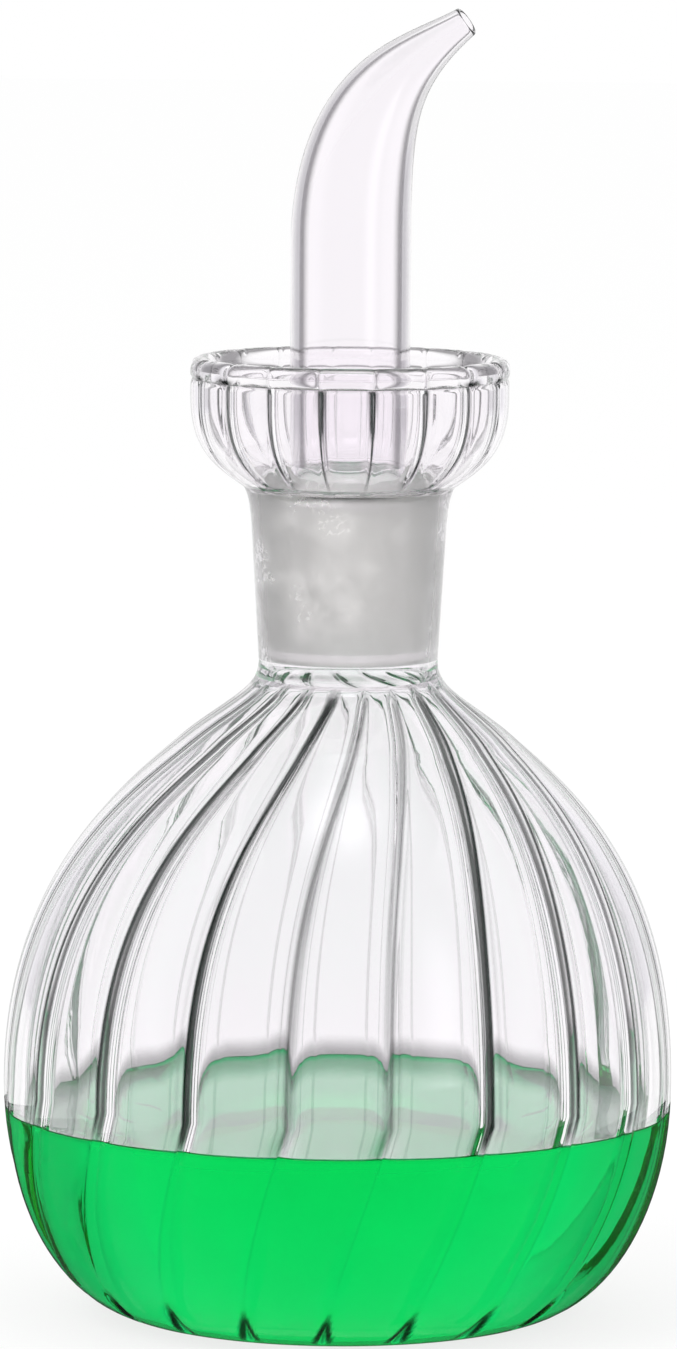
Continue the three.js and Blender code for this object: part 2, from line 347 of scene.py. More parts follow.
def build(name, grid, body, nodes, materials, ring=True, poles=(), marks=None, faces_of=None):
    """A closed mesh from rows of points.

    poles are the points that close its two ends where it is no ring, marks are named shades for each point,
    and faces_of is each row's material.
    """
    rows, columns = grid.shape[:2]
    index = np.arange(rows * columns).reshape(rows, columns)
    low, high = (index, np.roll(index, -1, 0)) if ring else (index[:-1], index[1:])
    corners = [low, np.roll(low, -1, 1), np.roll(high, -1, 1), high]
    faces = np.stack(corners, -1).reshape(-1, 4).tolist()
    points = grid.reshape(-1, 3).tolist()
    if poles:
        points += [list(pole) for pole in poles]
        first, last = rows * columns, rows * columns + 1
        faces += [(first, b, a) for a, b in zip(index[0].tolist(), np.roll(index[0], -1).tolist())]
        faces += [(last, a, b) for a, b in zip(index[-1].tolist(), np.roll(index[-1], -1).tolist())]
    mesh = bpy.data.meshes.new(name)
    mesh.from_pydata(points, [], faces)
    if mesh.validate():
        raise RuntimeError(f"{name} came out with faulty faces")
    for material in materials:
        mesh.materials.append(material)
    if faces_of is not None:
        ends = len(mesh.polygons) - low.size
        numbers = np.concatenate(
            [np.repeat(faces_of[: len(low)], columns), np.repeat(faces_of[[0, -1]], ends // 2)]
        )
        mesh.polygons.foreach_set("material_index", numbers)
    for mark, shade in (marks or {}).items():
        values = np.zeros(len(points))
        values[: shade.size] = shade.ravel()
        mesh.attributes.new(mark, "FLOAT", "POINT").data.foreach_set("value", values)
    mesh.shade_smooth()
    mesh.set_sharp_from_angle(angle=SHARP_EDGE)
    piece = bpy.data.objects.new(name, mesh)
    bpy.context.scene.collection.objects.link(piece)
    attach(piece, body)
    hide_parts(*nodes)
    return piece


def turned(outline, angles, press=0.0, twist=0.0, centre=0.0, dip=0.0):
    """Rows of points from an outline of radii and heights."""
    turn = angles[None] + twist + 0 * outline[:, :1]
    radius = outline[:, :1] - press
    x, y = radius * np.cos(turn) + centre, radius * np.sin(turn)
    return np.stack([x, y, outline[:, 1:] - dip + 0 * turn], -1)


# Steps of the globe's outline below its widest ring, above it and in the collar.
GLOBE_STEPS = (26, 40, 12)
FOOT_STEPS, BASE_STEPS = 8, 6
# Shares: of the foot's radius where its rows start and where its hollow starts to fall, of the neck's spread
# in the collar, of the height of the widest ring where the wall has thinned, and of the wall at the shoulder.
FOOT_HUB, HOLLOW_EDGE = 0.15, 0.5
COLLAR_SWELL = 2.2
THINNED, SHOULDER_WALL = 0.6, 0.9
SWIRL_POWER = 4

# Heights between which the ribs rise out of the foot, and the height over the shoulder where they fade.
RIBS_RISE = (0.005, 0.014)
RIBS_FADE = 0.0055
RIB_SHARPNESS = 4.6
# A rib's two lines of painted shade stand this far from its crest, and are this wide.
RIB_LINES = (0.00042, 0.00026)
# Strength of the ribs' lines of painted shade, and the ribs where only a share of it shows.
FIRMNESS = 0.82
FAINT_RIBS, FAINT = [3, 8, 15, 16], 0.36
# The painted dark core of each rib's line outside: strength, flatness and width.
CORE = (1.15, 1.5, 0.00026)
# The thin line of painted shade beside each rib outside: shade, distance from the rib and width.
SIDE_LINE = (0.11, 0.00122, 0.0003)
# The crease's width, the width of its line of painted shade, the line's shade where it is wet and what
# dryness adds, and the share of the crease's depth that is left where it is wet.
CREASE_WIDTH, CREASE_LINE = 0.035, 0.025
CREASE_SHADE = (0.06, 0.10)
WET_CREASE = 0.25
# Half the height over which the inside dries at the filling's edge, the height over which the outside does,
# and how far over the edge the glass counts as wetted.
DRY_EDGE, DRY_RISE = 0.0005, 0.004
WET_MARGIN = 0.0004
# The pinches at the foot: heights where they begin and end, their width, and the two lines of painted shade
# that spread down them.
PINCH_START, PINCH_END = (0.0008, 0.002), (0.004, 0.0075)
PINCH_WIDTH = 0.0009
PINCH_LINES, PINCH_LINE_WIDTH = 0.0011, 0.0003
PINCH_LINE_LOW, PINCH_LINE_RISE = 0.0015, 0.0045


def globe_outlines(sizes, neck):
    """The globe's outside and inside from the foot to the neck, as radii and heights."""
    top = GLOBE_BOX[1].z
    shoulder = np.array([sizes.shoulder, sizes.widest + sizes.shoulder_rise])
    slope = heading(math.pi - sizes.shoulder_slope)
    belly = (sizes.radius, sizes.widest)
    lower = [
        (sizes.foot, 0),
        (sizes.foot + sizes.foot_curve, 0),
        (sizes.radius, sizes.widest - sizes.below),
        belly,
    ]
    upper = [
        belly,
        (sizes.radius, sizes.widest + sizes.above),
        shoulder - slope * sizes.shoulder_below,
        shoulder,
    ]
    collar = [
        shoulder,
        shoulder + slope * sizes.shoulder_above,
        (neck.radius + neck.foot_spread * COLLAR_SWELL, top - sizes.neck_curve),
        (neck.radius + neck.foot_spread, top),
    ]
    outside = join(*(bezier(run, steps) for run, steps in zip((lower, upper, collar), GLOBE_STEPS)))
    heights = [0.0, sizes.widest * THINNED, sizes.widest + sizes.shoulder_rise, top - sizes.neck_curve]
    walls = [sizes.base, sizes.wall, sizes.wall * SHOULDER_WALL, neck.wall]
    inside = offset(outside, np.interp(outside[:, 1], heights, walls))
    inside[-1] = (neck.radius - neck.wall, top)
    return outside, inside


def swirl(sizes, height):
    """Twist of the globe's ribs at a height."""
    low = sizes.lower_swirl * np.maximum(0.0, 1 - height / sizes.widest)
    high = np.maximum(0.0, (height - sizes.widest) / (GLOBE_BOX[1].z - sizes.widest))
    return low + sizes.upper_swirl * high**SWIRL_POWER


def outside_lines(sizes, height, distance, spread, nearness, pinch, dry, firm):
    """How much painted shade the creases, the pinches, the side lines and the ribs' cores put on each point
    outside.
    """
    wet_shade, dry_shade = CREASE_SHADE
    crease = (wet_shade + dry_shade * dry) * crease_line(nearness, CREASE_LINE)
    apart = PINCH_LINES * np.clip(1 - (height - PINCH_LINE_LOW) / PINCH_LINE_RISE, 0.0, 1.0)
    pinched = pinch * flank_lines(distance, apart, PINCH_LINE_WIDTH)
    shade, place, width = SIDE_LINE
    shade = shade + hand_made(sizes.flutes, len(nearness), "side line")[None]
    beside = dry * shade * bell((distance / spread - place) / width)
    strength, flatness, width = CORE
    core = np.minimum(strength * firm, 1.0) * np.minimum(flatness * bell(distance / width), 1.0)
    return np.maximum.reduce([crease, beside, dry * core]), pinched


def globe_shape(sizes, outline, inner, wet=0.0):
    """Rows of points on the globe's outside or inside, and the painted shade that a rib puts on each point.

    wet is the filling's height.
    """
    angles, nearness = flute_columns(sizes.flutes, *GLOBE_COLUMNS)
    columns = len(angles)
    height, spread = outline[:, 1:], outline[:, :1] / sizes.radius
    fade = sizes.widest + sizes.shoulder_rise + RIBS_FADE
    shown = smoothstep(height, *RIBS_RISE) * (1 - smoothstep(height, fade, GLOBE_BOX[1].z))
    uneven = 1 + hand_made(sizes.flutes, columns, "rib height")[None]
    distance = (1 - nearness)[None] * math.pi / sizes.flutes * outline[:, :1]
    firm = FIRMNESS + hand_made(sizes.flutes, columns, "rib line")
    firm = firm * chosen_ribs(sizes.flutes, angles, FAINT_RIBS, FAINT, 1.0)
    if inner:
        press = shown * np.sqrt(spread) * sizes.rib * uneven * rounded_rib(nearness)[None] ** RIB_SHARPNESS
        dry = smoothstep(height, wet - DRY_EDGE, wet + DRY_EDGE)
        # Painted shade: two dark lines along each rib inside, where the glass is dry.
        shade = shown * dry * firm * flank_lines(distance, *RIB_LINES)
    else:
        dry = smoothstep(height, wet, wet + DRY_RISE)
        depth = sizes.crease * (WET_CREASE + (1 - WET_CREASE) * dry)
        flute = sizes.lobe * nearness[None] ** 2 + depth * crease_line(nearness, CREASE_WIDTH)
        pinch = smoothstep(height, *PINCH_START) * (1 - smoothstep(height, *PINCH_END))
        press = shown * spread * flute * uneven + pinch * sizes.pinch * bell(distance / PINCH_WIDTH)
        # Painted shade outside: the creases' lines, the side lines, the ribs' cores and the pinches' lines.
        lines, pinched = outside_lines(sizes, height, distance, spread, nearness, pinch, dry, firm)
        shade = np.maximum(shown * lines, pinched)
    twist = swirl(sizes, height) + sizes.turn + hand_made(sizes.flutes, columns, "rib place")[None]
    drift = NECK_AXIS * smoothstep(height, sizes.widest, GLOBE_BOX[1].z)
    return turned(outline, angles, press, twist, drift), shade


GLASS_IOR, OIL_IOR = 1.49, 1.46
DULL, SHINY = (0, 0, 0, 1), (1, 1, 1, 1)
WAVE_DEPTH = 0.0002
# Strength of the waves in clear glass, in ground glass and in the filling.
GLASS_WAVES, GROUND_WAVES, OIL_WAVES = 0.15, 0.3, 0.08
# Sizes of the waves, the drawing lines and the mottle in each material.
GLASS_GRAIN = (55.0, 420.0, 150.0)
GROUND_GRAINS = ((140.0, 900.0, 320.0), (140.0, 900.0, 85.0), (140.0, 900.0, 1300.0))
OIL_GRAIN = (35.0, 200.0, 60.0)
# The drawing lines are drawn out upwards, and are this share of the waves.
DRAWN_OUT = (1.0, 1.0, 0.06)
LINE_SHARE = 0.12
# Mottle over which a fired surface goes from smooth to its most rough.
FIRED_MOTTLE, FIRED_ROUGH = (0.3, 0.7), 0.03

# How strongly a mark of painted shade in the mesh shows from outside the glass and from within it.
MARKS = (("rib", 0.2, 1.0), ("crease", 1.0, 0.03))
LINE_SHARPNESS = 3.0
# The painted smear's mark is 1 at the filling's edge and more below it, where no smear shows.
FAR_SMEAR_END = 1.05
# The glasses whose pieces have marks of painted shade.
RIBBED = ("Blown glass", "Rim glass", "Wetted glass")
# Each glass with painted shade where it is seen edge on: the ranges of facing where it darkens and where it
# clears again, and how dark it gets from outside the glass and from within it.
EDGE_LABELS = ("Dark from", "Dark to", "Clear from", "Clear to", "Outside", "Inside")
NEVER = (2.0, 3.0)
EDGES = {
    "Blown glass": (0.84, 0.95, *NEVER, 1.0, 0.0),
    "Drawn glass": (0.36, 0.52, 0.55, 0.95, 0.52, 0.0),
    "Bore glass": (0.155, 0.225, *NEVER, 0.0, 0.97),
    "Rim glass": (0.28, 0.45, 0.56, 0.86, 0.92, 0.0),
}

# The ground joint: mottle of its pale patches and of its rubbed specks, its dullest tint, and its roughness
# in dull and in pale patches. Specks take half the roughness away.
PALE, RUBBED = (0.44, 0.53), (0.5, 0.56)
DULLEST = 0.95
MILKY = (1.15, 0.9)
SPECK = 0.5

# The filling: mottle and depth of its drift of colour, its colour by depth, and its surface's clearness and
# coat.
OIL_MOTTLE, OIL_DRIFT = (0.35, 0.65), 0.93
OIL_DEPTH = {"Color": (0.22, 0.972, 0.755, 1.0), "Density": 80.0}
SURFACE_CLEAR, SURFACE_COAT, COAT_END = 0.6, 0.38, 0.8


def node(tree, kind, inputs=None, **settings):
    """A new shader node with its settings and plain inputs; an input that is a socket is linked."""
    made = tree.nodes.new(kind)
    for name, value in settings.items():
        setattr(made, name, value)
    for name, value in (inputs or {}).items():
        socket = made.inputs[name]
        if isinstance(value, NodeSocket):
            tree.links.new(value, socket)
        else:
            socket.default_value = value
    return made


def maths(tree, operation, first, second):
    """What an operation makes of two values."""
    return node(tree, "ShaderNodeMath", {0: first, 1: second}, operation=operation).outputs["Value"]


def ranged(tree, value, low, high, to_low, to_high, kind="LINEAR"):
    """A value taken from one range to another."""
    ends = {"Value": value, "From Min": low, "From Max": high, "To Min": to_low, "To Max": to_high}
    return node(tree, "ShaderNodeMapRange", ends, interpolation_type=kind).outputs["Result"]


def mixed(tree, factor, first, second):
    """A colour between two colours."""
    first, second = (end if isinstance(end, NodeSocket) else (*end, 1) for end in (first, second))
    ends = {"Factor": factor, "A": first, "B": second}
    return node(tree, "ShaderNodeMix", ends, data_type="RGBA").outputs["Result"]


def marked(tree, mark):
    """A shade that is stored in the mesh."""
    return node(tree, "ShaderNodeAttribute", attribute_name=mark).outputs["Fac"]


def new_group(name, inputs, outputs):
    """An empty shader group, its input and its output."""
    group = bpy.data.node_groups.new(name, "ShaderNodeTree")
    for label, default in inputs.items():
        socket = group.interface.new_socket(label, in_out="INPUT", socket_type="NodeSocketFloat")
        socket.default_value = default
    for label in outputs:
        group.interface.new_socket(label, in_out="OUTPUT", socket_type="NodeSocketFloat")
    return group, group.nodes.new("NodeGroupInput"), group.nodes.new("NodeGroupOutput")


def worked_group():
    """Shader group: the slow waves and fine drawing lines of hand-worked glass, as a height and a mottle.

    Its roughness is a fired surface's: hardly any, in patches.
    """
    name = "Hand-worked glass"
    if name in bpy.data.node_groups:
        return bpy.data.node_groups[name]
    sizes = {"Wave size": 60.0, "Line size": 400.0, "Mottle size": 180.0}
    group, start, end = new_group(name, sizes, ("Height", "Mottle", "Roughness"))
    place = node(group, "ShaderNodeTexCoord").outputs["Object"]
    drawn = node(group, "ShaderNodeMapping", {"Vector": place, "Scale": DRAWN_OUT}).outputs["Vector"]
    noises = []
    for label, vector, detail in zip(sizes, (place, drawn, place), (1.0, 2.0, 3.0)):
        inputs = {"Vector": vector, "Scale": start.outputs[label], "Detail": detail}
        noises.append(node(group, "ShaderNodeTexNoise", inputs).outputs["Fac"])
    waves, lines, mottle = noises
    height = node(group, "ShaderNodeMath", {0: lines, 1: LINE_SHARE, 2: waves}, operation="MULTIPLY_ADD")
    group.links.new(height.outputs["Value"], end.inputs["Height"])
    group.links.new(mottle, end.inputs["Mottle"])
    rough = ranged(group, mottle, *FIRED_MOTTLE, 0.0, FIRED_ROUGH)
    group.links.new(rough, end.inputs["Roughness"])
    return group


def rib_group():
    """Shader group: how clear the painted shade of the ribs' lines and of the smear over the filling leaves
    the glass.

    The smear, painted shade, shows on the far wall only, where it is seen from the air.
    """
    name = "Rib lines"
    if name in bpy.data.node_groups:
        return bpy.data.node_groups[name]
    group, start, end = new_group(name, {"From within": 0.0, "Far smear shade": 0.0}, ("Clear",))
    within = start.outputs["From within"]
    far_smear = marked(group, "far_smear")
    over = maths(group, "SUBTRACT", maths(group, "LESS_THAN", far_smear, FAR_SMEAR_END), within)
    far_smear = ranged(group, far_smear, 0.0, 1.0, 0.0, start.outputs["Far smear shade"], "SMOOTHSTEP")
    dark = maths(group, "MULTIPLY", far_smear, over)
    for mark, outwards, inwards in MARKS:
        seen = ranged(group, within, 0.0, 1.0, outwards, inwards)
        dark = maths(group, "MAXIMUM", dark, maths(group, "MULTIPLY", marked(group, mark), seen))
    clear = maths(group, "POWER", maths(group, "SUBTRACT", 1.0, dark), LINE_SHARPNESS)
    group.links.new(clear, end.inputs["Clear"])
    return group


def edge_group():
    """Shader group: the painted shade of the glass where it is seen edge on."""
    name = "Dark edges"
    if name in bpy.data.node_groups:
        return bpy.data.node_groups[name]
    inputs = dict.fromkeys(("Facing", "From within", *EDGE_LABELS), 0.0)
    group, start, end = new_group(name, inputs, ("Edge",))
    facing, within, dark_from, dark_to, clear_from, clear_to, outside, inside = (
        start.outputs[label] for label in inputs
    )
    dark = ranged(group, facing, dark_from, dark_to, 0.0, 1.0, "SMOOTHSTEP")
    left = ranged(group, facing, clear_from, clear_to, 1.0, 0.0, "SMOOTHSTEP")
    seen = ranged(group, within, 0.0, 1.0, outside, inside)
    edge = maths(group, "MULTIPLY", maths(group, "MULTIPLY", dark, left), seen)
    group.links.new(edge, end.inputs["Edge"])
    return group


def new_material(name):
    """A material with an empty tree, and its output."""
    material = bpy.data.materials.new(name)
    material.use_nodes = True
    tree = material.node_tree
    tree.nodes.clear()
    return material, tree, tree.nodes.new("ShaderNodeOutputMaterial")


def worked(tree, grain):
    """The hand-worked glass group with its own sizes."""
    sizes = dict(zip(("Wave size", "Line size", "Mottle size"), grain))
    return node(tree, "ShaderNodeGroup", sizes, node_tree=worked_group())


def glaze(tree, out, hand, waves, inputs):
    """The shader of a wavy see-through surface."""
    bump = {"Height": hand.outputs["Height"], "Strength": waves, "Distance": WAVE_DEPTH}
    normal = node(tree, "ShaderNodeBump", bump).outputs["Normal"]
    shader = node(tree, "ShaderNodeBsdfPrincipled", {**inputs, "Normal": normal})
    tree.links.new(shader.outputs["BSDF"], out.inputs["Surface"])


def clear_glass(look, name="Blown glass"):
    """Clear glass with faint waves, and painted shade along its ribs and at its edges.

    Where the filling wets it, it doesn't shine.
    """
    if name in bpy.data.materials:
        return bpy.data.materials[name]
    material, tree, out = new_material(name)
    hand = worked(tree, GLASS_GRAIN)
    wetted = name == "Wetted glass"
    from_within = node(tree, "ShaderNodeNewGeometry").outputs["Backfacing"]
    tint = (*look.glass, 1)
    # Painted shade: the ribs' lines and the smear over the filling darken the glass's tint.
    if name in RIBBED:
        inputs = {"From within": from_within, "Far smear shade": 0.0 if wetted else look.far_smear}
        ribs = node(tree, "ShaderNodeGroup", inputs, node_tree=rib_group())
        tint = mixed(tree, ribs.outputs["Clear"], look.rib_shade, look.glass)
    # Painted shade where the glass is seen edge on.
    if name in EDGES:
        facing = node(tree, "ShaderNodeLayerWeight").outputs["Facing"]
        inputs = {"Facing": facing, "From within": from_within, **dict(zip(EDGE_LABELS, EDGES[name]))}
        edges = node(tree, "ShaderNodeGroup", inputs, node_tree=edge_group())
        between = tint if name in RIBBED else look.glass
        tint = mixed(tree, edges.outputs["Edge"], between, look.edge_shade)
    inputs = {
        "Base Color": tint,
        "Roughness": hand.outputs["Roughness"],
        "IOR": GLASS_IOR,
        "Transmission Weight": 1.0,
        "Specular Tint": DULL if wetted else SHINY,
    }
    glaze(tree, out, hand, GLASS_WAVES, inputs)
    return material


def ground_glass(look):
    """Ground glass: milky and rough, with paler patches, clear specks where it is rubbed, and fine lines."""
    name = "Ground glass"
    if name in bpy.data.materials:
        return bpy.data.materials[name]
    material, tree, out = new_material(name)
    hand, broad, fine = (worked(tree, grain) for grain in GROUND_GRAINS)
    pale = ranged(tree, broad.outputs["Mottle"], *PALE, 0.0, 1.0)
    rubbed = ranged(tree, broad.outputs["Mottle"], *RUBBED, 0.0, 1.0)
    specks = maths(tree, "MULTIPLY", rubbed, ranged(tree, fine.outputs["Mottle"], *RUBBED, 0.0, 1.0))
    milky = ranged(tree, pale, 0.0, 1.0, *(look.ground_rough * part for part in MILKY))
    left = maths(tree, "SUBTRACT", 1.0, maths(tree, "MULTIPLY", specks, SPECK))
    inputs = {
        "Base Color": mixed(tree, pale, [part * DULLEST for part in look.ground], look.ground),
        "Roughness": maths(tree, "MULTIPLY", milky, left),
        "IOR": GLASS_IOR,
        "Transmission Weight": 1.0,
    }
    glaze(tree, out, hand, GROUND_WAVES, inputs)
    return material


def green_oil(look, surface=False):
    """Green oil, coloured by its depth, with a faint drift of colour.

    Only its surface shines; painted light makes it greenest in the middle, and painted shade darkens the
    filling at its edge.
    """
    name = "Green oil surface" if surface else "Green oil"
    if name in bpy.data.materials:
        return bpy.data.materials[name]
    material, tree, out = new_material(name)
    hand = worked(tree, OIL_GRAIN)
    # The mark called rib here holds the painted shade at the filling's edge.
    rib = marked(tree, "rib")
    if surface:
        # Painted light: the surface is painted brighter green towards its middle.
        tint = mixed(tree, marked(tree, "outward"), look.oil_middle_light, look.oil_top)
        finish = {
            "Transmission Weight": SURFACE_CLEAR,
            "Specular Tint": SHINY,
            "Coat Weight": ranged(tree, rib, 0.0, COAT_END, SURFACE_COAT, 0.0),
        }
    else:
        drift = ranged(tree, hand.outputs["Mottle"], *OIL_MOTTLE, 0.0, 1.0)
        tint = mixed(tree, drift, look.oil, [part * OIL_DRIFT for part in look.oil])
        finish = {"Transmission Weight": 1.0, "Specular Tint": DULL}
    inputs = {
        "Base Color": mixed(tree, rib, tint, look.oil_edge_shade),
        "Roughness": hand.outputs["Roughness"],
        "IOR": OIL_IOR,
        **finish,
    }
    glaze(tree, out, hand, OIL_WAVES, inputs)
    depth = node(tree, "ShaderNodeVolumeAbsorption", OIL_DEPTH)
    tree.links.new(depth.outputs["Volume"], out.inputs["Volume"])
    return material


class CRUET_OT_globe(Operator):
    """Blow the fluted globe"""

    bl_idname = "cruet.globe"
    bl_label = "Globe"

    def execute(self, context):
        scene = context.scene
        sizes, oil = scene.cruet_globe, scene.cruet_oil
        outside, inside = globe_outlines(sizes, scene.cruet_neck)
        hub, base = sizes.foot * FOOT_HUB, inside[0][1]
        foot = line((hub, sizes.kick), (sizes.foot, 0), FOOT_STEPS)
        foot[:, 1] = sizes.kick * (1 - smoothstep(foot[:, 0], sizes.foot * HOLLOW_EDGE, sizes.foot))
        lining = join(inside[::-1], line((sizes.foot, base), (hub, base), BASE_STEPS))
        edge = oil.level + oil.climb
        out_rows, out_lines = globe_shape(sizes, join(foot, outside), False, edge)
        in_rows, in_lines = globe_shape(sizes, lining, True, edge)
        # Mark of the painted soft shade on the far wall over the filling's edge: 1 at the edge, nought at its
        # top.
        far_smear = 1 - (lining[:, 1:] - edge) / oil.far_smear
        wetted = np.concatenate([np.zeros(len(out_rows)), lining[:, 1] < edge + WET_MARGIN])
        build(
            "globe_glass",
            np.concatenate([out_rows, in_rows]),
            "bottle",
            ["fluted_body"],
            [clear_glass(scene.cruet_look), clear_glass(scene.cruet_look, "Wetted glass")],
            ring=False,
            poles=((0, 0, sizes.kick), (0, 0, base)),
            marks={
                "crease": np.concatenate([out_lines, 0 * in_lines]),
                "rib": np.concatenate([0 * out_lines, in_lines]),
                "far_smear": np.concatenate([0 * out_lines, far_smear + 0 * in_lines]),
            },
            faces_of=wetted.astype(int),
        )
        return {"FINISHED"}


# Rows of the neck's foot, side and mouth outside, and of its ground and its plain part inside.
FOOT_ROWS, SIDE_ROWS, MOUTH_ROWS, GROUND_ROWS, PLAIN_ROWS = 8, 16, 10, 20, 3
# The neck: reach of the curve at its foot, and length, lean and reach of the curve at its mouth.
NECK_FOOT_CURVE = 0.0013
MOUTH_LENGTH, MOUTH_LEAN, MOUTH_CURVE = 0.006, 0.0003, 0.0014


class CRUET_OT_neck(Operator):
    """Draw the ground neck"""

    bl_idname = "cruet.neck"
    bl_label = "Neck"

    def execute(self, context):
        scene = context.scene
        sizes = scene.cruet_neck
        low, high = NECK_BOX[0].z - LAP, NECK_BOX[1].z + LAP
        start = NECK_BOX[0].z + sizes.straight
        inner, mouth = sizes.radius - sizes.wall, sizes.mouth - sizes.wall
        foot, brim = sizes.radius + sizes.foot_spread, sizes.mouth + sizes.mouth_spread
        throat = (sizes.mouth - MOUTH_LEAN, high - MOUTH_LENGTH)
        outside = join(
            bezier([(foot, low), (sizes.radius, low + NECK_FOOT_CURVE), (sizes.radius, start)], FOOT_ROWS),
            line((sizes.radius, start), throat, SIDE_ROWS),
            bezier([throat, (sizes.mouth, high - MOUTH_CURVE), (brim, high)], MOUTH_ROWS),
        )
        ground = line((mouth, high), (inner, start), GROUND_ROWS)
        plain = line((inner, start), (inner, low), PLAIN_ROWS)
        outline = np.concatenate([outside, ground, plain[1:]])
        frosted = np.zeros(len(outline), int)
        frosted[len(outside) : len(outside) + len(ground) - 1] = 1
        build(
            "neck_glass",
            turned(outline, round_angles(ROUND_COLUMNS), centre=NECK_AXIS),
            "bottle",
            ["neck_socket"],
            [clear_glass(scene.cruet_look, "Plain glass"), ground_glass(scene.cruet_look)],
            faces_of=frosted,
        )
        return {"FINISHED"}


BOWL_STEPS, CUP_WALL_STEPS, BEAD_STEPS = 26, 18, 26
# Height of the lip inside the cup's foot, and how far the inside stops below the bead.
CUP_LIP, UNDER_BEAD = 0.0006, 0.0004
# Height over which the ribs and flutes rise out of the foot.
CUP_RIBS_RISE = 0.006
CUP_RIB_SHARPNESS = 4.2
# Heights from the bead's middle, in bead radii: where the flutes fade into the rim, the groove under it, the
# heads of the needles, and where the needles end.
RIM_FADE = (-1.5, -0.3)
GROOVE_PLACE, NEEDLE_HEAD, NEEDLE_END = -0.9, -1.35, -1.2
# Share of the flutes' depth that the rim takes away.
RIM_FLUTE = 0.7
# The deepest nips in the rim, and how deep the others are beside them.
NIPS, SHALLOW_NIP = [10, 11, 16, 17], 0.2
# Widths of the creases outside, of the rim's dips and of the crease's line of painted shade, and that line's
# shade.
CUP_CREASE, RIM_DIP, CUP_LINE, CUP_LINE_SHADE = 0.1, 0.2, 0.04, 0.1
GROOVE_WIDTH = 0.0004
# The needles, two lines of painted shade along each rib inside: where they broaden, and the distance and
# width of their two lines, each with what broadness adds.
NEEDLE_BROAD = (0.004, 0.002)
NEEDLE_APART, NEEDLE_WIDTH = (0.0001, 0.00032), (0.00012, 0.0001)
HEAD_WIDTH = 0.0004
# The line of painted shade under the bead inside: shade, height over the bead's end and width.
BEAD_LINE = (0.2, 0.0001, 0.0003)
# The dark glints painted at the deepest nips: width, height over the groove and height.
GLINT = (0.0015, 0.0003, 0.0004)


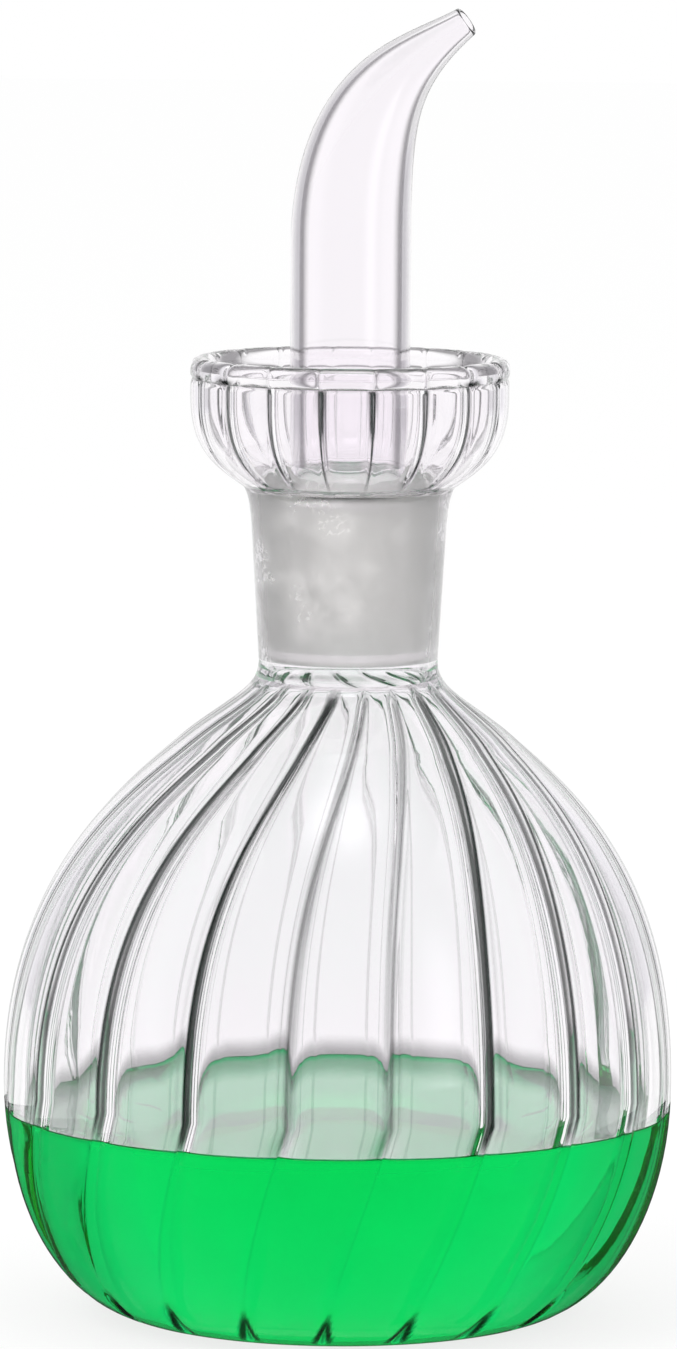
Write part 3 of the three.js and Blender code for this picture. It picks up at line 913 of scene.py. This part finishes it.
class CRUET_OT_cup(Operator):
    """Form the fluted drip cup with its rolled rim"""

    bl_idname = "cruet.cup"
    bl_label = "Drip cup"

    def outline(self, sizes, neck):
        """The cup's outside, bead and inside, and the lip that closes it, as radii and heights."""
        low, side = CUP_BOX[0].z, CUP_BOX[0].z + sizes.bowl
        foot = np.array([neck.mouth + neck.mouth_spread, low])
        bowl = [
            foot,
            foot + heading(sizes.flare) * sizes.flare_curve,
            (sizes.radius, side - sizes.side_curve),
            (sizes.radius, side),
        ]
        centre = np.array([sizes.radius - sizes.bead, CUP_BOX[1].z - sizes.bead])
        wall = line((sizes.radius, side), (sizes.radius, centre[1]), CUP_WALL_STEPS)
        outside = join(bezier(bowl, BOWL_STEPS), wall)
        inside = offset(outside, np.full(len(outside), sizes.wall))[::-1]
        end = math.pi * 1.5 + math.asin((sizes.bead - sizes.wall) / sizes.bead)
        bead = arc(centre, sizes.bead, 0.0, end, BEAD_STEPS)
        inside = inside[inside[:, 1] < bead[-1][1] - UNDER_BEAD]
        mouth = neck.mouth - neck.wall
        return outside, bead, inside, np.array([(mouth, low + CUP_LIP), (mouth, low)])

    def needles(self, sizes, height, distance, centre, bead_end):
        """How much painted shade the needles along the ribs and the line under the bead put on each point
        inside.
        """
        low, side = CUP_BOX[0].z, CUP_BOX[0].z + sizes.bowl
        broad = smoothstep(height, low + NEEDLE_BROAD[0], side + NEEDLE_BROAD[1])
        apart, width = (narrow + more * broad for narrow, more in (NEEDLE_APART, NEEDLE_WIDTH))
        head = bell((height - centre - sizes.bead * NEEDLE_HEAD) / HEAD_WIDTH)
        needle = np.maximum(flank_lines(distance, apart, width), head * (distance < apart))
        shade, rise, tall = BEAD_LINE
        ring = shade * bell((height - bead_end - rise) / tall)
        return np.maximum((height < centre + sizes.bead * NEEDLE_END) * needle, ring)

    def execute(self, context):
        scene = context.scene
        sizes = scene.cruet_cup
        outside, bead, inside, lip = self.outline(sizes, scene.cruet_neck)
        outline = np.concatenate([outside, bead[1:], inside, lip])
        low, top = CUP_BOX[0].z, CUP_BOX[1].z
        centre = top - sizes.bead
        angles, nearness = flute_columns(sizes.flutes, *CUP_COLUMNS)
        columns = len(angles)
        height = outline[:, 1:]
        distance = (1 - nearness)[None] * math.pi / sizes.flutes * outline[:, :1]
        outer = (np.arange(len(outline)) < len(outside) + len(bead) // 2)[:, None]
        shown = smoothstep(height, low, low + CUP_RIBS_RISE)
        rim = smoothstep(height, *(centre + sizes.bead * place for place in RIM_FADE))
        uneven = 1 + hand_made(sizes.flutes, columns, "cup rib height")[None]
        nips = chosen_ribs(sizes.flutes, angles, NIPS, 1.0, SHALLOW_NIP)[None]
        crease = sizes.crease * (1 - rim) + rim * sizes.notch * nips
        groove = centre + sizes.bead * GROOVE_PLACE
        outer_press = (1 - RIM_FLUTE * rim) * sizes.lobe * nearness[None] ** 2
        outer_press = outer_press + crease * crease_line(nearness, CUP_CREASE)
        outer_press = outer_press + sizes.groove * bell((height - groove) / GROOVE_WIDTH)
        inner_press = sizes.rib * (1 - rim) * rounded_rib(nearness)[None] ** CUP_RIB_SHARPNESS
        press = shown * uneven * np.where(outer, outer_press, inner_press)
        dip = smoothstep(height, centre - sizes.bead, top) * sizes.notch / 2 * nips
        dip = dip * crease_line(nearness, RIM_DIP)
        twist = sizes.turn + hand_made(sizes.flutes, columns, "cup rib place")[None]
        # Painted shade: dark glints at the deepest nips and a dark line along each crease outside, and the
        # needles inside.
        wide, rise, tall = GLINT
        glint = (nips == 1.0) * bell(distance / wide) * bell((height - groove - rise) / tall)
        lines = np.maximum(glint, CUP_LINE_SHADE * crease_line(nearness, CUP_LINE))
        needles = self.needles(sizes, height, distance, centre, bead[-1][1])
        rolled = np.zeros(len(outline), int)
        rolled[len(outside) - 1 : len(outside) + len(bead) - 2] = 1
        build(
            "cup_glass",
            turned(outline, angles, press, twist, NECK_AXIS, dip * uneven),
            "bottle",
            ["drip_cup"],
            [clear_glass(scene.cruet_look), clear_glass(scene.cruet_look, "Rim glass")],
            faces_of=rolled,
            marks={
                "crease": np.where(outer, shown * lines, 0.0),
                "rib": np.where(outer, 0.0, shown * needles),
            },
        )
        return {"FINISHED"}


CONE_STEPS, CROWN_STEPS, CONE_BORE_STEPS, CONE_LIP_STEPS = 24, 10, 20, 8
# Rows of the crown that are still ground, and the drop of the bore's roof into the cone.
GROUND_CROWN = 5
ROOF_DROP = 0.0022


class CRUET_OT_cone(Operator):
    """Grind the pourer's stopper cone"""

    bl_idname = "cruet.cone"
    bl_label = "Stopper cone"

    def execute(self, context):
        scene = context.scene
        sizes = scene.cruet_pourer
        low, high = CONE_BOX[0].z, CONE_BOX[1].z - SEAM
        top = high - sizes.crown
        half = sizes.cone_wall / 2
        lip_height = low + half
        bore, inner = sizes.pipe - sizes.pipe_wall, sizes.cone_top - sizes.cone_wall
        bottom = sizes.cone_bottom - sizes.cone_wall
        crown_curve = [(sizes.cone_top, top), (sizes.pipe, high - sizes.crown / 2), (sizes.pipe, high)]
        roof_curve = [(bore, high), (bore, top), (inner, top), (inner, top - ROOF_DROP)]
        side = line((sizes.cone_bottom, lip_height), (sizes.cone_top, top), CONE_STEPS)
        crown = bezier(crown_curve, CROWN_STEPS)
        roof = bezier(roof_curve, CROWN_STEPS)
        well = line(roof[-1], (bottom, lip_height), CONE_BORE_STEPS)
        lip = arc((bottom + half, lip_height), half, math.pi, math.tau, CONE_LIP_STEPS)
        outline = np.concatenate([side, crown[1:], roof, well[1:], lip[1:-1]])
        frosted = np.zeros(len(outline), int)
        frosted[1 : len(side) + GROUND_CROWN] = 1
        build(
            "stopper_cone",
            turned(outline, round_angles(ROUND_COLUMNS), centre=NECK_AXIS),
            "pourer_cone",
            ["ground_cone"],
            [clear_glass(scene.cruet_look), ground_glass(scene.cruet_look)],
            faces_of=frosted,
        )
        return {"FINISHED"}


PIPE_STEPS, HORN_STEPS, TIP_STEPS = 24, 64, 8
# How the horn narrows: less than the pipe at first, and wider than the tip near its end.
HORN_WAIST, HORN_FLARE = 0.0002, 0.0013


class CRUET_OT_horn(Operator):
    """Draw the pourer's pipe and bend it to its tip"""

    bl_idname = "cruet.horn"
    bl_label = "Pouring horn"

    def execute(self, context):
        scene = context.scene
        sizes = scene.cruet_pourer
        low = HORN_BOX[0].z + SEAM
        bend = low + sizes.pipe_length
        half = sizes.tip_wall / 2
        aim = heading(sizes.tip_angle)
        tip = np.array([sizes.reach, bend + sizes.rise]) - aim * half
        pipe = line((0, low), (0, bend), PIPE_STEPS)
        horn = bezier([(0, bend), (0, bend + sizes.bend), tip - aim * sizes.tip_curve, tip], HORN_STEPS)
        path = join(pipe, horn)
        narrowing = [[sizes.pipe], [sizes.pipe - HORN_WAIST], [sizes.tip + HORN_FLARE], [sizes.tip]]
        straight = np.full((len(pipe), 1), sizes.pipe)
        radius = join(straight, bezier(narrowing, HORN_STEPS))[:, 0]
        thinning = line([sizes.pipe_wall], [sizes.tip_wall], HORN_STEPS)[:, 0]
        wall = np.concatenate([np.full(len(pipe), sizes.pipe_wall), thinning[1:]])
        run = unit_runs(path)
        lip = np.linspace(0.0, math.pi, TIP_STEPS + 1)[1:-1]
        lip_radius = sizes.tip - half + half * np.cos(lip)
        lip_path = path[-1] + run[-1] * (half * np.sin(lip))[:, None]
        rows_path = np.concatenate([path, lip_path, path[::-1]])
        rows_run = np.concatenate([run, np.repeat(run[-1:], len(lip), 0), run[::-1]])
        rows_radius = np.concatenate([radius, lip_radius, (radius - wall)[::-1]])[:, None]
        angles = round_angles(HORN_COLUMNS)
        across = rows_radius * np.cos(angles)[None]
        x = NECK_AXIS + rows_path[:, :1] + rows_run[:, 1:] * across
        y = rows_radius * np.sin(angles)[None]
        z = rows_path[:, 1:] - rows_run[:, :1] * across
        build(
            "pouring_horn",
            np.stack([x, y, z], -1),
            "pourer_horn",
            ["horn_spout"],
            [clear_glass(scene.cruet_look, "Drawn glass"), clear_glass(scene.cruet_look, "Bore glass")],
            faces_of=(np.arange(len(rows_path)) >= len(path) + len(lip)).astype(int),
        )
        return {"FINISHED"}


# Room between the filling's level and the globe's rows below it, and the drop to its own row there.
WALL_CLEARANCE, EDGE_ROW = 0.0006, 0.0004
# Rows of the surface, by their way in from its edge: first, last and number of the near ones, and of the far
# ones, whose last is a share of the whole way. Then the smallest ring's share of the edge, and the reach of
# the climb.
NEAR_ROWS, FAR_ROWS = (0.0002, 0.006, 8), (0.012, 0.9, 6)
SMALLEST_RING = 0.02
CLIMB_REACH = 0.0007
# Painted shade on the edge's crest and on the ring inside it, the ring's reach, and the radii of the middle
# that is painted brighter green, as painted light.
CREST_SHADE, RING_SHADE, RING_REACH = 0.35, 0.1, 0.0028
GREEN_MIDDLE = (0.004, 0.018)


class CRUET_OT_oil(Operator):
    """Fill the globe"""

    bl_idname = "cruet.oil"
    bl_label = "Filling"

    def execute(self, context):
        scene = context.scene
        sizes, globe = scene.cruet_oil, scene.cruet_globe
        inside = globe_outlines(globe, scene.cruet_neck)[1]
        edge = sizes.level + sizes.climb
        reach = np.interp(edge, inside[:, 1], inside[:, 0])
        rim = np.array([[reach, edge]])
        wall = inside[inside[:, 1] < sizes.level - WALL_CLEARANCE]
        wall = np.concatenate([wall, rim - (0, sizes.climb + EDGE_ROW), rim])
        outline = join(line((globe.foot * FOOT_HUB, wall[0][1]), wall[0], BASE_STEPS), wall)
        swollen = offset(outline, np.full(len(outline), -sizes.lap))
        swollen[-1] = outline[-1] + (sizes.lap, 0)
        rows = globe_shape(globe, swollen, True)[0]
        crest = rows[-1]
        crest_reach = np.linalg.norm(crest[:, :2], axis=1)
        first, last, count = FAR_ROWS
        steps = np.concatenate([np.geomspace(*NEAR_ROWS), np.linspace(first, reach * last, count)])
        top = []
        for step in steps:
            row = crest * np.maximum(SMALLEST_RING, 1 - step / crest_reach)[:, None]
            row[:, 2] = sizes.level + sizes.climb * math.exp(-step / CLIMB_REACH)
            top.append(row)
        # Painted shade on the edge's crest and on a ring of the surface inside it.
        shade = np.zeros((len(rows) + len(steps), len(crest)))
        shade[len(rows) - 1] = CREST_SHADE
        shade[len(rows) :] = RING_SHADE * np.exp(-steps[:, None] / RING_REACH)
        # Painted light: the middle of the surface is painted brighter green than its edge.
        outward = np.ones(shade.shape)
        outward[len(rows) :] = smoothstep(reach - steps[:, None], *GREEN_MIDDLE)
        build(
            "oil_filling",
            np.concatenate([rows, np.array(top)]),
            "bottle",
            ["oil_fill"],
            [green_oil(scene.cruet_look), green_oil(scene.cruet_look, surface=True)],
            ring=False,
            poles=((0, 0, swollen[0][1]), (0, 0, sizes.level)),
            marks={"rib": shade, "outward": outward},
            faces_of=np.concatenate([np.zeros(len(rows) - 1), np.ones(len(top) + 1)]).astype(int),
        )
        return {"FINISHED"}


FLOOR_RADIUS, FLOOR_SIDES, FLOOR_DROP = 4.0, 96, 0.0002
FLOOR_PAINT = (0.96, 0.96, 0.96, 1)
FLOOR_THROUGH = 0.85
WHITE = (1, 1, 1, 1)
FLAG_WHITE, ROOM_WHITE = (0.98, 0.97, 1.0, 1), (0.98, 0.96, 1.0, 1)
SHEET_HEIGHT = 0.0004
# Light that crosses the empty globe passes about four surfaces; light through fewer or more sees paler flags.
EMPTY_GLOBE, EMPTY_PLAY, FULL_GREY = 4.0, 1.2, 0.8
# The flags: degrees from the line of sight to them and across them, and each row's reach, height and
# darkness, which fades at the sides.
FLAG_NEAR, FLAG_WIDE, FLAG_COLUMNS = 24, 46, 25
FLAG_REACH = np.array([0.9, 1.3, 1.8, 1.8, 1.8])
FLAG_HEIGHT = np.array([SHEET_HEIGHT, SHEET_HEIGHT, SHEET_HEIGHT, 0.9, 1.4])
FLAG_ROWS = np.array([0.0, 1.0, 1.0, 1.0, 0.0])
FLAG_FADE = 0.4
# The dark table's inner and outer radius, the front's half width and height in degrees, and its reach.
TABLE = np.array([0.031, 0.2])
FRONT_SIDE, FRONT_LIFT = 75, 88
FRONT_REACH = 3.5
FRONT_FLAT_ROWS, FRONT_ROWS, FRONT_COLUMNS = 12, 25, 101
DISC_COLUMNS, HIGH_ROWS = 181, 13
# The pale strip at the front's right: strength, bearing, width, where on the floor it starts and the height
# at which it ends.
STRIP, STRIP_BEARING, STRIP_WIDTH = 0.55, math.radians(38), 0.19
STRIP_START, STRIP_END = (1.0, 2.0), np.radians((20, 50))
# Bearings between which the front turns pale at its sides.
PALE_SIDES = np.radians((45, FRONT_SIDE))
# The high light: distance ahead, height, radius and spread.
HIGH_AHEAD, HIGH_UP, HIGH_RADIUS, HIGH_SPREAD = 0.25, 1.2, 0.6, 0.22
# Lamps: name, place, width and power. Both look at one point.
LAMPS = (("key_lamp", (-0.55, -0.75, 1.05), 0.7, 5.0), ("side_lamp", (0.9, -0.45, 0.8), 0.6, 2.0))
LAMP_AIM = (0, 0, 0.06)
SENSOR_WIDTH = 36.0
CLIP = (0.05, 50.0)
BOUNCES, GLOSSY_BOUNCES = 32, 16


def white_seen(tree, low, through):
    """How white the stage is: 1 for what the camera or a reflection sees, low for light that falls on things.

    through is how white it is through glass.
    """
    path = node(tree, "ShaderNodeLightPath")
    seen = maths(tree, "MAXIMUM", path.outputs["Is Camera Ray"], path.outputs["Is Glossy Ray"])
    glass = maths(tree, "MULTIPLY", path.outputs["Is Transmission Ray"], through)
    return ranged(tree, maths(tree, "MAXIMUM", seen, glass), 0.0, 1.0, low, 1.0)


def around(turns, reach, height):
    """Points at bearings, at a reach from the axis and at a height."""
    return np.stack([reach * np.cos(turns), reach * np.sin(turns), height + 0 * turns * reach], -1)


class CRUET_OT_stage(Operator):
    """Set the floor, flags, lamps and camera"""

    bl_idname = "cruet.stage"
    bl_label = "Stage"

    def room(self, scene, look):
        """A plain white room."""
        world = scene.world or bpy.data.worlds.new("Studio")
        scene.world = world
        world.use_nodes = True
        tree = world.node_tree
        tree.nodes.clear()
        out = tree.nodes.new("ShaderNodeOutputWorld")
        inputs = {"Color": WHITE, "Strength": white_seen(tree, look.fill, 1.0)}
        room = node(tree, "ShaderNodeBackground", inputs)
        tree.links.new(room.outputs["Background"], out.inputs["Surface"])

    def floor(self, scene, look):
        """A wide pale floor that takes a light shadow."""
        points = around(round_angles(FLOOR_SIDES), FLOOR_RADIUS, -FLOOR_DROP)
        mesh = bpy.data.meshes.new("floor")
        mesh.from_pydata(points.tolist(), [], [list(range(len(points)))])
        material, tree, out = new_material("White floor")
        lit = node(tree, "ShaderNodeBsdfDiffuse", {"Color": FLOOR_PAINT})
        plain = node(tree, "ShaderNodeEmission", {"Color": WHITE})
        amount = maths(tree, "MULTIPLY", white_seen(tree, 0.0, FLOOR_THROUGH), 1 - look.shadow)
        ends = {0: amount, 1: lit.outputs["BSDF"], 2: plain.outputs["Emission"]}
        mix = node(tree, "ShaderNodeMixShader", ends)
        tree.links.new(mix.outputs["Shader"], out.inputs["Surface"])
        mesh.materials.append(material)
        floor = bpy.data.objects.new("floor", mesh)
        scene.collection.objects.link(floor)

    def sheet(self, scene, name, points, shade, material, mark="glow"):
        """A bent sheet of the stage, which only reflections see."""
        index = np.arange(points[..., 0].size).reshape(points.shape[:2])
        corners = [index[:-1, :-1], index[1:, :-1], index[1:, 1:], index[:-1, 1:]]
        mesh = bpy.data.meshes.new(name)
        mesh.from_pydata(points.reshape(-1, 3).tolist(), [], np.stack(corners, -1).reshape(-1, 4).tolist())
        mesh.attributes.new(mark, "FLOAT", "POINT").data.foreach_set("value", shade.ravel())
        mesh.materials.append(material)
        made = bpy.data.objects.new(name, mesh)
        scene.collection.objects.link(made)
        made.visible_camera = made.visible_diffuse = made.visible_shadow = made.visible_transmission = False
        return made

    def glow(self, name, tint, strength):
        """A material that gives light, by a function that makes its strength."""
        material, tree, out = new_material(name)
        light = node(tree, "ShaderNodeEmission", {"Color": tint, "Strength": strength(tree)})
        tree.links.new(light.outputs["Emission"], out.inputs["Surface"])
        return material

    def flags(self, scene, look):
        """Grey flags on the far floor and standing behind it, which draw the glass. The camera sees none."""

        def grey(tree):
            depth = node(tree, "ShaderNodeLightPath").outputs["Transmission Depth"]
            inputs = {0: depth, 1: EMPTY_GLOBE, 2: EMPTY_PLAY}
            empty = node(tree, "ShaderNodeMath", inputs, operation="COMPARE").outputs["Value"]
            dark = ranged(tree, empty, 0.0, 1.0, FULL_GREY, look.flag)
            ends = {"Factor": marked(tree, "soft"), "A": 1.0, "B": dark}
            return node(tree, "ShaderNodeMix", ends).outputs["Result"]

        material = self.glow("Studio flag", FLAG_WHITE, grey)
        wide = np.linspace(0.0, 1.0, FLAG_COLUMNS)[:, None]
        soft = smoothstep(wide, 0.0, FLAG_FADE) * (1 - smoothstep(wide, 1 - FLAG_FADE, 1.0)) * FLAG_ROWS
        for name, side in (("left_flag", 1), ("right_flag", -1)):
            turns = look.azimuth + math.pi / 2 + side * np.radians(FLAG_NEAR + FLAG_WIDE * wide)
            flag = self.sheet(scene, name, around(turns, FLAG_REACH, FLAG_HEIGHT), soft, material, "soft")
            flag.visible_glossy = flag.visible_transmission = True

    def front(self, scene, look):
        """The dark table, the dim room behind the camera and its high light. Only reflections see them."""

        def dim(tree):
            return ranged(tree, marked(tree, "glow"), 0.0, 1.0, look.front_dark, look.front_glow)

        material = self.glow("Front of the room", ROOM_WHITE, dim)
        ahead = look.azimuth - math.pi / 2
        turns = np.radians(np.linspace(-180, 180, DISC_COLUMNS))[:, None]
        table = around(turns, TABLE, SHEET_HEIGHT)
        self.sheet(scene, "table", table, 0 * table[..., 0], material)
        sides = np.radians(np.linspace(-FRONT_SIDE, FRONT_SIDE, FRONT_COLUMNS))[:, None]
        rising = np.radians(np.linspace(0, FRONT_LIFT, FRONT_ROWS))
        lifts = np.concatenate([np.zeros(FRONT_FLAT_ROWS), rising])[None]
        flat = np.linspace(TABLE[1], FRONT_REACH, FRONT_FLAT_ROWS)
        reach = np.concatenate([flat, np.full(FRONT_ROWS, FRONT_REACH)])[None]
        points = around(ahead + sides, reach * np.cos(lifts), reach * np.sin(lifts) + SHEET_HEIGHT)
        strip = STRIP * bell((sides - STRIP_BEARING) / STRIP_WIDTH) * smoothstep(reach, *STRIP_START)
        strip = strip * (1 - smoothstep(lifts, *STRIP_END))
        pale = smoothstep(np.abs(sides), *PALE_SIDES) * (1 / look.front_glow)
        self.sheet(scene, "front", points, np.maximum(strip, pale), material)
        spread = np.linspace(0.0, HIGH_RADIUS, HIGH_ROWS)[None]
        points = around(turns, spread, HIGH_UP)
        points[..., :2] += HIGH_AHEAD * heading(ahead)
        self.sheet(scene, "high_light", points, bell(spread / HIGH_SPREAD) + 0 * turns, material)

    def lamps(self, scene):
        """A broad soft lamp over the front left and a weaker one on the right. Neither shows in the glass."""
        for name, place, size, power in LAMPS:
            lamp = bpy.data.lights.new(name, "AREA")
            lamp.shape, lamp.size, lamp.energy = "SQUARE", size, power
            made = bpy.data.objects.new(name, lamp)
            made.visible_glossy = made.visible_transmission = False
            made.location = place
            made.rotation_mode = "QUATERNION"
            aim = Vector(LAMP_AIM) - Vector(place)
            made.rotation_quaternion = aim.to_track_quat("-Z", "Y")
            scene.collection.objects.link(made)

    def camera(self, scene, look):
        """The photograph's view."""
        data = bpy.data.cameras.new("photo_camera")
        data.lens, data.sensor_width, data.sensor_fit = look.lens, SENSOR_WIDTH, "AUTO"
        data.clip_start, data.clip_end = CLIP
        made = bpy.data.objects.new("photo_camera", data)
        turn = Matrix.Rotation(look.azimuth, 4, "Z")
        tilt = Matrix.Rotation(math.pi / 2 - look.pitch, 4, "X")
        place = turn @ Vector((look.sideways, -look.distance, look.height))
        made.matrix_world = Matrix.Translation(place) @ turn @ tilt @ Matrix.Rotation(look.roll, 4, "Z")
        scene.collection.objects.link(made)
        scene.camera = made

    def execute(self, context):
        scene = context.scene
        look = scene.cruet_stage
        scene.view_settings.view_transform = "Standard"
        scene.cycles.max_bounces = BOUNCES
        scene.cycles.transmission_bounces = BOUNCES
        scene.cycles.glossy_bounces = GLOSSY_BOUNCES
        self.room(scene, look)
        self.floor(scene, look)
        self.flags(scene, look)
        self.front(scene, look)
        self.lamps(scene)
        self.camera(scene, look)
        return {"FINISHED"}


OPERATORS = (
    CRUET_OT_globe,
    CRUET_OT_neck,
    CRUET_OT_cup,
    CRUET_OT_cone,
    CRUET_OT_horn,
    CRUET_OT_oil,
    CRUET_OT_stage,
)
GROUPS = {
    "cruet_globe": GlobeSizes,
    "cruet_neck": NeckSizes,
    "cruet_cup": CupSizes,
    "cruet_pourer": PourerSizes,
    "cruet_oil": OilSizes,
    "cruet_look": GlassLook,
    "cruet_stage": StageLook,
}


class CRUET_PT_panel(Panel):
    """Lists the cruet's pieces and their sizes"""

    bl_label = "Oil cruet"
    bl_idname = "CRUET_PT_panel"
    bl_space_type = "VIEW_3D"
    bl_region_type = "UI"
    bl_category = "Cruet"

    def draw(self, context):
        for operator in OPERATORS:
            self.layout.operator(operator.bl_idname)
        for name, group in GROUPS.items():
            box = self.layout.box()
            box.label(text=group.__doc__)
            for size in group.__annotations__:
                box.prop(getattr(context.scene, name), size)


def register():
    """Adds the sizes, the operators and the panel."""
    for name, group in GROUPS.items():
        bpy.utils.register_class(group)
        setattr(bpy.types.Scene, name, PointerProperty(type=group))
    for one in (*OPERATORS, CRUET_PT_panel):
        bpy.utils.register_class(one)


def unregister():
    """Takes them away again."""
    for one in (CRUET_PT_panel, *reversed(OPERATORS)):
        bpy.utils.unregister_class(one)
    for name, group in GROUPS.items():
        delattr(bpy.types.Scene, name)
        bpy.utils.unregister_class(group)


def main():
    """Builds the cruet and its stage."""
    register()
    bpy.ops.cruet.globe()
    bpy.ops.cruet.neck()
    bpy.ops.cruet.cup()
    bpy.ops.cruet.cone()
    bpy.ops.cruet.horn()
    bpy.ops.cruet.oil()
    bpy.ops.cruet.stage()


if __name__ == "__main__":
    main()
